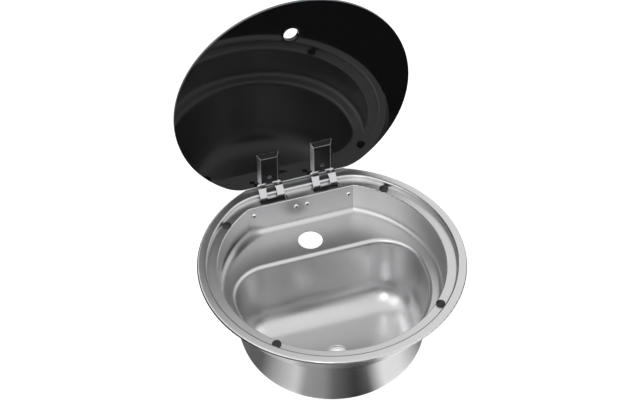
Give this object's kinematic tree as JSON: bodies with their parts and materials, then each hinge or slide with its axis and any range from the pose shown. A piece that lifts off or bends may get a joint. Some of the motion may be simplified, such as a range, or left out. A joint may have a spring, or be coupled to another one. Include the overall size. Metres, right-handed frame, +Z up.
{
  "type": "round sink with hinged glass lid",
  "caption": "Round recessed kitchen sink of pressed stainless sheet with a D-shaped basin, a tap deck and a hinged dark glass lid that folds flat into the rim.",
  "frame": {"origin": "centre of the rim in the plane of the worktop it lies on", "axes": "+Z up out of the worktop, +Y to the back where the lid is hinged, +X to the right"},
  "size_m": [0.4199, 0.42, 0.5552],
  "materials": {
    "brushed_stainless": "brushed, satin",
    "bright_stainless": "bright, lightly brushed",
    "polished_metal": "polished",
    "black_glass": "glossy, opaque black",
    "black_metal": "black, satin",
    "black_rubber": "matt"
  },
  "bodies": {
    "sink": {"bowl_shell": "brushed_stainless", "bumper_rear_right": "black_rubber", "bumper_rear_left": "black_rubber", "bumper_front_left": "black_rubber", "bumper_front_right": "black_rubber", "hinge_bracket_left": "bright_stainless", "hinge_bracket_right": "bright_stainless", "hinge_pin_left": "bright_stainless", "hinge_pin_right": "bright_stainless", "panel_screws_left": "bright_stainless", "panel_screws_right": "bright_stainless"},
    "lid": {"hinge_arm_left": "bright_stainless", "hinge_arm_right": "bright_stainless", "glass_receiver_left": "black_metal", "glass_receiver_right": "black_metal", "bonding_pad_left": "black_rubber", "bonding_pad_right": "black_rubber", "set_screw_left": "bright_stainless", "set_screw_right": "bright_stainless", "glass_pane": "black_glass", "finger_ring": "polished_metal"}
  },
  "joints": [
    {"name": "lid_hinge", "type": "hinge", "parent": "sink", "child": "lid", "pos_m": [0, 0.18002, -0.007], "axis": [1, 0, 0], "range_deg": [0, 92]}
  ]
}
